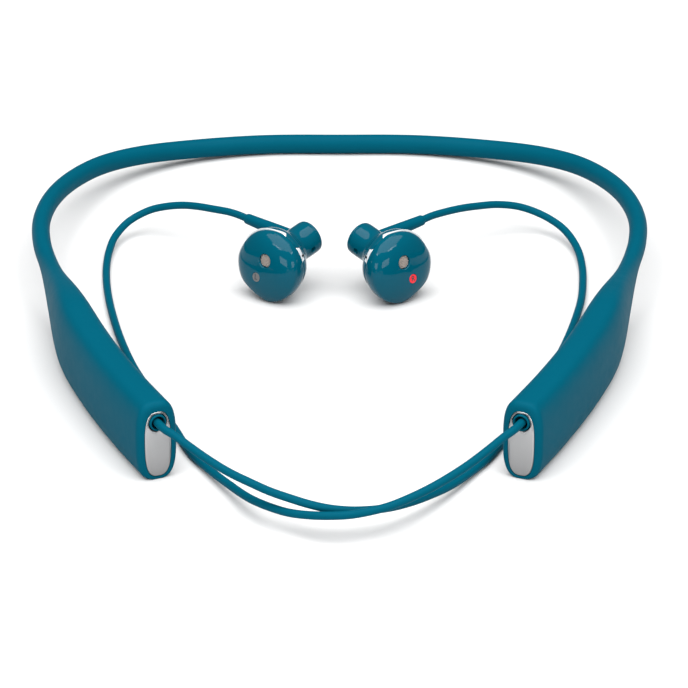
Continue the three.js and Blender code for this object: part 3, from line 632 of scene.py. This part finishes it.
def end_plate(side, is_left):
    """A flat plate with rounded edges, and the hole that the cable's grommet sits in."""
    count = 240
    angle = 2 * np.pi * np.arange(count) / count
    section = plate_section(-0.02)
    ahead, inner = band_line.forward(LINE_END), inward(LINE_END)
    centre = band_line.place(LINE_END)

    def edge(direction):
        """How far the plate's edge is from the hole's centre, in a direction across and up."""
        reach = np.linspace(0.5, 16, 1600)
        across = np.abs(reach * direction[0]) / section["half_thickness"]
        up = np.abs(GLAND_LEVEL + reach * direction[1] - section["level"]) / section["half_height"]
        return reach[np.argmax(across ** section["squareness"] + up ** section["squareness"] > 1)]

    directions = [(math.cos(a), math.sin(a)) for a in angle]
    edges = [edge(d) for d in directions]

    def ring(distances, push):
        points = []
        for (c, s), distance in zip(directions, distances):
            point = centre + distance * c * inner + push * ahead
            points.append((point[0], point[1], GLAND_LEVEL + distance * s))
        return np.array(points)

    hole = [GLAND_RADIUS] * count
    rings = [ring(hole, -0.9), ring(hole, -0.05)]
    rings += [ring([h + 0.12 for h in hole], 0.08), ring([h + 0.3 for h in hole], 0.12)]
    for share in (0.25, 0.5, 0.75):
        rings.append(ring([lerp(GLAND_RADIUS, e, share) for e in edges], 0.12))
    rings += [ring([e - 0.4 for e in edges], 0.12), ring([e - 0.2 for e in edges], 0.07)]
    rings += [ring([e - 0.06 for e in edges], -0.06), ring(edges, -0.2), ring(edges, -0.9)]
    plate = build(f"{side}_plate", loft(rings, loop=True), is_left, sharp=50)
    finish_piece(plate, f"{side}_arm", "plate_silver", looks["plate"], f"{side}_end_plate")


def grommet(side, is_left):
    bore, rim = GLAND_BORE, GLAND_RADIUS - 0.22
    profile = [
        (-2.9, bore), (-2.9, rim), (0.2, rim), (0.36, rim - 0.06), (0.45, rim - 0.2), (0.42, rim - 0.38),
        (0.25, bore + 0.15), (0.05, bore + 0.04), (-0.4, bore),
    ]
    ring = build(f"{side}_grommet", moved(turned(profile, 48, loop=True), gland_place()), is_left, sharp=60)
    finish_piece(ring, f"{side}_arm", "cable_rubber", looks["cable"], f"{side}_cable_grommet")


def cover(side, is_left, openings):
    lid = build(f"{side}_cover", loft(outer_rings(COVER_START - 6)), is_left)
    combine(lid, hollow(CASING_WALL, COVER_START - 9, LINE_END - FRONT_WALL, 60), is_left=is_left)
    combine(lid, cover_block(0), "INTERSECT", is_left)
    for key in openings:
        combine(lid, key_hole(key), is_left=is_left)
    finish_piece(lid, f"{side}_arm", "module_plastic", looks["band"], f"{side}_inner_cover")


def key_cap(name, key, is_left, stems=(0,), marks=()):
    """A crowned key with a stem over each of its switches and raised marks on its face."""
    face = casing_section(key["distance"])["half_thickness"] + KEY_PROUD
    cap = pill(key["length"], key["height"], face - KEY_SKIN, face - 0.12, rounding=0.35, crown=0.12)
    posts = [shifted(pill(2, 1.6, KEY_STEM_START, face - 1, rounding=0.1, corner=0.3), y=y) for y in stems]
    place = standing(key["distance"], key["level"])
    obj = build(name, moved(joined(cap, *posts), place), is_left)
    finish_piece(obj, key["body"], "module_plastic", looks["key"], key["body"])
    raised = []
    for y, z, long, tall in marks:
        raised.append(shifted(pill(long, tall, face - 0.3, face + 0.16, rounding=0.1), y=y, z=z))
    if raised:
        bars = build(f"{name}_marks", moved(joined(*raised), place), is_left)
        finish_piece(bars, key["body"], "mark_grey", looks["grey"])


def right_module():
    cover("right", False, [POWER_KEY, CALL_KEY, STATUS_LIGHT])
    key_cap("power_key_cap", {**POWER_KEY, "body": "power_key"}, False, marks=[(0, 0, 0.5, 1.6)])
    key_cap("call_key_cap", {**CALL_KEY, "body": "call_key"}, False, marks=[(0, 0, 3.4, 0.55)])
    distance = STATUS_LIGHT["distance"]
    face = casing_section(distance)["half_thickness"]
    profile = [(LENS_FOOT, 0.8), (face - 0.15, 0.85), (face, 0.8), (face + 0.08, 0.6), (face + 0.1, 0.3)]
    foot = (*band_line.place(distance)[:2], STATUS_LIGHT["level"])
    pipe = build("status_light_lens", moved(turned(profile, 32), along(inward(distance), foot)))
    finish_piece(pipe, "right_arm", "light_pipe", looks["lens"], "status_light_pipe")


def left_module():
    cover("left", True, [PLAY_KEY, VOLUME_ROCKER, MICROPHONE, USB_SOCKET])
    key_cap("play_key_cap", {**PLAY_KEY, "body": "play_key"}, True, marks=[(0, 0, 1.1, 1.1)])
    plus = [(-VOLUME_SPREAD, 0, 1.9, 0.5), (-VOLUME_SPREAD, 0, 0.5, 1.9)]
    minus = [(VOLUME_SPREAD, 0, 1.9, 0.5)]
    stems = (-VOLUME_SPREAD, VOLUME_SPREAD)
    key_cap("volume_rocker_cap", {**VOLUME_ROCKER, "body": "volume_rocker"}, True, stems, plus + minus)


for side, is_left in (("right", False), ("left", True)):
    band_half(side, is_left)
    inner_strand(f"{side}_core", is_left, INNER_LINE_OFFSET, CORE_RADIUS,
                 "spring_steel", looks["spring"], "spring_core")
    inner_strand(f"{side}_wires", is_left, -INNER_LINE_OFFSET, HARNESS_RADIUS,
                 "black_rubber", looks["black"], "signal_harness")
    end_plate(side, is_left)
    grommet(side, is_left)
right_module()
left_module()

# ---------------------------------------------------------------- the earbuds
# In an earbud's own frame the face looks along +Z and the barrel goes back and up from it.
barrel_axis = np.array([
    math.sin(BARREL_SWING),
    math.cos(BARREL_SWING) * math.sin(BARREL_TILT),
    -math.cos(BARREL_SWING) * math.cos(BARREL_TILT),
])
boot_axis = np.array([-math.cos(BOOT_SWEEP), 0, -math.sin(BOOT_SWEEP)])
bend_axis = unit(np.cross(UP, -barrel_axis))
BEND = math.acos(-barrel_axis[2])
bud_angles = 2 * np.pi * np.arange(BUD_SIDES) / BUD_SIDES


def bulge(angle, margin):
    """1 round the head at one angle, fading to 0 at its far side."""
    value = np.clip((np.cos(bud_angles - math.radians(angle)) + margin) / (1 + margin), 0, 1)
    return value * value * (3 - 2 * value)


# How far the head's outline is from a circle: fuller on both sides of its flat, and lower at the top.
bud_outline = 1 + 0.04 * bulge(203, -0.7) + 0.015 * bulge(300, -0.4) - 0.045 * bulge(108, -0.3)

# (depth behind the rim's plane, radius) from the middle of the face to the barrel's end
BUD_PROFILE = catmull_rom([
    (-2.96, 0.05), (-2.95, 1.7), (-2.85, 3.4), (-2.5, 5.4), (-1.85, 7.1), (-1, 8.3), (0, BUD_RADIUS),
    (1.32, 9.12), (2.64, 8.9), (4.4, 8.3), (5.7, 7.7), (6.9, 6.7), (8, 5.45), (9, 4.6), (10.2, 4.27),
    (12.4, BARREL_RADIUS), (14.5, BARREL_RADIUS),
], 12)


def radius_at(depth):
    """The radius behind the rim's plane."""
    behind = BUD_PROFILE[BUD_PROFILE[:, 0] >= 0]
    return np.interp(depth, behind[:, 0], behind[:, 1])


def bud_ring(depth, radius, inset=0.0, limit=BUD_FLAT):
    """A ring round the earbud, which turns from the face's plane to the plane across the barrel."""
    depth = np.broadcast_to(np.asarray(depth, float), bud_angles.shape)
    outline_share = np.clip(1.6 - depth / RING_DISTANCE, 0, 1)
    radius = radius * (1 + (bud_outline - 1) * outline_share) - inset
    flat = np.stack([radius * np.cos(bud_angles), radius * np.sin(bud_angles), 0 * radius], axis=1)
    t = np.clip(depth / RING_DISTANCE, 0, 1)[:, None]
    theta = t * BEND
    turned_flat = (flat * np.cos(theta) + np.cross(bend_axis, flat) * np.sin(theta)
                   + bend_axis * (flat @ bend_axis)[:, None] * (1 - np.cos(theta)))
    half_way = np.array([0, 0, -RING_DISTANCE / 2])
    centre = 2 * (1 - t) * t * half_way + t * t * RING_DISTANCE * barrel_axis
    centre = centre + np.maximum(depth - RING_DISTANCE, 0)[:, None] * barrel_axis
    centre = centre - np.minimum(depth, 0)[:, None] * UP
    points = turned_flat + centre
    flat_way = np.array([math.cos(BUD_FLAT_ANGLE), math.sin(BUD_FLAT_ANGLE), 0])
    reach = points @ flat_way
    rounding = 0.4
    near = np.maximum(rounding - np.abs(reach - limit), 0) / rounding
    held = np.minimum(reach, limit) - near**2 * rounding / 4
    return points + (held - reach)[:, None] * flat_way


# The front shell is shortest at the outer side, where the chrome ring stands proud of it. On the inner side
# the rear shell comes forward over the ring, and leaves a window in which the ring shows. This says how far
# the ring shows, at angles in degrees round the head.
RING_SHOWS = {-180: 1, -90: 1, -75: 0, 7: 0, 10: 1, 33: 1, 36: 0, 62: 0, 70: 1, 180: 1}
turned_angles = (np.degrees(bud_angles) + 180) % 360 - 180
ring_shows = np.interp(turned_angles, list(RING_SHOWS), list(RING_SHOWS.values()))
ring_start = 4.4 - 4.05 * bulge(160, 0.1)
ring_proud = 0.23 * ring_shows - 0.2 + 0.4 * bulge(135, -0.6)
rear_start = ring_start + 1.25 * ring_shows


def front_shell_form():
    face = [(d, r) for d, r in BUD_PROFILE if d < 0]
    side = np.linspace(0, 1, 14)
    edge = ring_start - 0.05
    outer = [bud_ring(d, r) for d, r in face] + [bud_ring(edge * s, radius_at(edge * s)) for s in side[:-1]]
    outer += [bud_ring(edge - 0.04, radius_at(edge), 0.02), bud_ring(edge, radius_at(edge), 0.1)]
    held = BUD_FLAT - BUD_WALL
    inner = [bud_ring(edge * s, radius_at(edge * s), BUD_WALL, held) for s in side[::-1]]
    inner += [bud_ring(d + BUD_WALL, r * (1 - BUD_WALL / BUD_RADIUS), 0, held) for d, r in face[::-1]]
    return loft(outer + inner)


def band_form(start, end, wall, edge=0.1, proud=0.0):
    """A ring or shell round the bud from one depth to another, its outer edges rounded."""
    def at(depth, inset):
        return bud_ring(depth, radius_at(depth) + proud, inset, BUD_FLAT + proud - inset)
    span = [at(lerp(start + edge, end - edge, t), 0) for t in np.linspace(0, 1, 24)]
    back = [at(lerp(end, start, t), wall) for t in np.linspace(0, 1, 24)]
    front_edge = [at(start, edge), at(start + edge * 0.3, edge * 0.3)]
    rear_edge = [at(end - edge * 0.3, edge * 0.3), at(end, edge)]
    return loft([*front_edge, *span, *rear_edge, *back], loop=True)


SLOT_ANGLE = 18


def ring_slot():
    """A dark slot across the ring's window, at SLOT_ANGLE degrees round the head."""
    index = int(BUD_SIDES * SLOT_ANGLE / 360)
    depth = ring_start + 0.75
    ring = bud_ring(depth, radius_at(depth))
    outward = unit(ring[index] - ring.mean(axis=0))
    around = unit(ring[index + 1] - ring[index])
    ahead = np.cross(outward, around)
    x, y, z = ring[index] - 0.12 * outward
    matrix = Matrix(((outward[0], ahead[0], around[0], x), (outward[1], ahead[1], around[1], y),
                     (outward[2], ahead[2], around[2], z), (0, 0, 0, 1)))
    return moved(pill(1.2, 0.55, -0.3, 0.22, rounding=0.08, corner=0.2), matrix)


def on_bud(form, side):
    """Places a form drawn in an earbud's own frame. The right earbud is the left one's mirror image."""
    turn = Matrix.Rotation(-BUD_YAW, 4, "Z") @ Matrix.Rotation(math.pi / 2 - BUD_PITCH, 4, "X")
    mirror = Matrix.Scale(-1 if side == "right" else 1, 4, (1, 0, 0))
    return moved(form, Matrix.Translation(BUD_CENTRES[side]) @ mirror @ turn)


def woven_mesh(radius, pitch=0.4, wire=0.115):
    """Two sets of wires that pass over and under each other, trimmed to a disc."""
    forms = []
    for turn in (0, 1):
        for k in np.arange(-int(radius / pitch), int(radius / pitch) + 1):
            offset = k * pitch
            reach = math.sqrt(max(radius**2 - offset**2, 0)) - wire
            if reach < pitch:
                continue
            run = np.linspace(-reach, reach, int(reach / 0.045))
            wave = wire * np.cos(np.pi * (run / pitch + k)) * (1 if turn else -1)
            path = [(x, offset, z) if turn else (offset, x, z) for x, z in zip(run, wave)]
            forms.append(tube(path, wire, 6))
    return joined(*forms)


def glyph(name, letter, side):
    """A small L or R on the side mark."""
    data = bpy.data.curves.new(name, "FONT")
    data.body = letter
    data.size = 1.9
    data.extrude = 0.03
    data.offset = 0.03
    data.align_x = "CENTER"
    data.align_y = "CENTER"
    text = bpy.data.objects.new("text", data)
    bpy.context.scene.collection.objects.link(text)
    bpy.context.view_layer.update()
    mesh = bpy.data.meshes.new_from_object(text)
    bpy.data.objects.remove(text)
    vertices = np.array([v.co for v in mesh.vertices]) * ((-1, 1, 1) if side == "right" else (1, 1, 1))
    faces = [tuple(p.vertices) for p in mesh.polygons]
    return build(name, on_bud(shifted((vertices, faces), SIDE_MARK["x"], SIDE_MARK["y"], 2.9), side))


def earbud(side):
    port, mark = SOUND_PORT, SIDE_MARK
    name = f"{side}_bud"

    def piece(label, form, slot, look, *nodes, sharp=35):
        obj = build(f"{name}_{label}", on_bud(form, side), sharp=sharp)
        return finish_piece(obj, "root", slot, looks[look], *nodes)

    shell = build(f"{name}_front", on_bud(front_shell_form(), side))
    hole, rim = port["radius"], mark["radius"]
    port_cut = turned([(0, hole), (2.7, hole), (2.86, hole + 0.05), (3.1, hole + 0.3)])
    combine(shell, on_bud(shifted(port_cut, port["x"], port["y"]), side))
    mark_cut = turned([(2.5, rim + 0.06), (3.4, rim + 0.06)])
    combine(shell, on_bud(shifted(mark_cut, mark["x"], mark["y"]), side))
    finish_piece(shell, "root", "bud_gloss", looks["bud"], f"{name}_front_shell")

    wires = shifted(woven_mesh(hole - 0.08), port["x"], port["y"], 2.42)
    piece("mesh", wires, "port_mesh", "wire", f"{name}_port_mesh")
    cloth = shifted(turned([(0, 1.6), (0.12, 1.6)]), port["x"], port["y"], 2.12)
    piece("cloth", cloth, "black_rubber", "cloth")
    disc = turned([(2.52, rim), (2.84, rim), (2.9, rim - 0.06), (2.92, rim - 0.3)])
    colour = "grey" if side == "left" else "red"
    piece("mark", shifted(disc, mark["x"], mark["y"]), f"mark_{colour}", colour, f"{name}_side_mark")
    letter = glyph(f"{name}_letter", side[0].upper(), side)
    finish_piece(letter, "root", "black_rubber", looks["glyph"])

    ring = band_form(ring_start, ring_start + 1.2, 0.95, proud=ring_proud)
    piece("ring", ring, "trim_chrome", "chrome", f"{name}_trim_ring")
    piece("ring_slot", ring_slot(), "black_rubber", "black")
    rear = build(f"{name}_rear", on_bud(band_form(rear_start, BARREL_END - 1, 0.8, 0.08, 0.05), side))
    boot_origin = barrel_axis * BOOT_DISTANCE
    boot_hole = moved(turned([(2, 1.5), (6, 1.5)]), along(boot_axis, boot_origin))
    combine(rear, on_bud(boot_hole, side))
    vent_axis = np.array([1, -0.2, 0])
    vent_axis = unit(vent_axis - barrel_axis * (vent_axis @ barrel_axis))
    vent_place = along(vent_axis, barrel_axis * VENT_DISTANCE)
    vent = moved(turned([(3.3, 0.7), (4.1, 0.72), (4.6, 1.0)]), vent_place)
    combine(rear, on_bud(vent, side))
    finish_piece(rear, "root", "bud_gloss", looks["bud"], f"{name}_rear_shell")

    rounding = 0.7
    cap = [(-0.5, 3), (0.06, 3), (0.06, BARREL_RADIUS - 0.04), (0.1, BARREL_RADIUS)]
    cap += [(1 - rounding * (1 - math.sin(a)), BARREL_RADIUS - rounding * (1 - math.cos(a)))
            for a in np.radians([0, 20, 40, 60, 80, 90])]
    cap += [(1.03, 2), (1.04, 0.5)]
    cap_form = moved(turned(cap, 64), along(barrel_axis, barrel_axis * (BARREL_END - 1)))
    piece("cap", cap_form, "bud_gloss", "bud", f"{name}_barrel_cap")

    boot = [(3, 1.75), (6, 1.75), (9, 1.69), (12, 1.6), (16, 1.47), (BOOT_LENGTH - 0.6, 1.36),
            (BOOT_LENGTH - 0.3, 1.33), (BOOT_LENGTH - 0.08, 1.22), (BOOT_LENGTH, 1.05), (BOOT_LENGTH, 0.9)]
    boot_form = moved(turned(boot, 40), along(boot_axis, boot_origin))
    sleeve = build(f"{name}_boot", on_bud(boot_form, side), sharp=50)
    barrel = turned([(5, BARREL_RADIUS + 0.03), (30, BARREL_RADIUS + 0.03)], 96)
    combine(sleeve, on_bud(moved(barrel, along(barrel_axis, (0, 0, 0))), side), sharp=50)
    finish_piece(sleeve, "root", "cable_rubber", looks["cable"], f"{name}_cable_boot")


earbud("left")
earbud("right")

# ---------------------------------------------------------------- pieces inside, shown as the frame has them
INSIDE = {
    "black": ("right_cover_gasket", "left_cover_gasket", "microphone"),
    "steel": ("power_switch", "call_switch", "play_switch", "volume_up_switch", "volume_down_switch",
              "usb_socket", "left_bud_driver", "right_bud_driver"),
    "board": ("key_board", "main_board"),
    "foil": ("battery_cell",),
    "film": ("left_bud_diaphragm", "right_bud_diaphragm"),
}
for look, nodes in INSIDE.items():
    for node in nodes:
        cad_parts[node].data.materials.clear()
        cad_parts[node].data.materials.append(looks[look])


# ---------------------------------------------------------------- studio
FLOOR_REACH = 2.5
FLOOR_GREY = 0.6
WORLD_STRENGTH = 0.12
# name, radiance, distance, azimuth from the front towards +X and elevation in degrees, width, height
SOFTBOXES = [
    ("overhead", 4.4, 1.15, 0, 80, 2.0, 1.5),
    ("upper_left", 14.0, 1.2, -50, 42, 0.5, 0.08),
    ("upper_right", 14.0, 1.2, 50, 42, 0.5, 0.08),
    ("lower_left", 6.5, 1.0, -26, 12, 0.5, 0.26),
    ("lower_right", 6.5, 1.0, 26, 12, 0.5, 0.26),
]


def floor():
    corners = [(-1, -1), (1, -1), (1, 1), (-1, 1)]
    mesh = bpy.data.meshes.new("floor")
    mesh.from_pydata([(x * FLOOR_REACH, y * FLOOR_REACH, 0) for x, y in corners], [], [(0, 1, 2, 3)])
    obj = bpy.data.objects.new("floor", mesh)
    bpy.context.scene.collection.objects.link(obj)
    mesh.materials.append(surface("floor_paper", (FLOOR_GREY,) * 3, 0.8, vary=0.004, spread=0.01, patch=2,
                                  Specular_IOR_Level=0.1))


def studio():
    world = bpy.data.worlds.new("studio")
    world.use_nodes = True
    background = world.node_tree.nodes["Background"]
    background.inputs["Color"].default_value = (1, 1, 1, 1)
    background.inputs["Strength"].default_value = WORLD_STRENGTH
    bpy.context.scene.world = world
    bpy.context.scene.view_settings.view_transform = "Standard"
    for name, radiance, distance, azimuth, elevation, width, height in SOFTBOXES:
        data = bpy.data.lights.new(name, "AREA")
        data.shape = "RECTANGLE"
        data.size, data.size_y = width, height
        data.energy = math.pi * radiance * width * height
        a, e = math.radians(azimuth), math.radians(elevation)
        position = distance * Vector((math.sin(a) * math.cos(e), -math.cos(a) * math.cos(e), math.sin(e)))
        aimed(bpy.data.objects.new(name, data), position, (0, 0, 0))


floor()
studio()
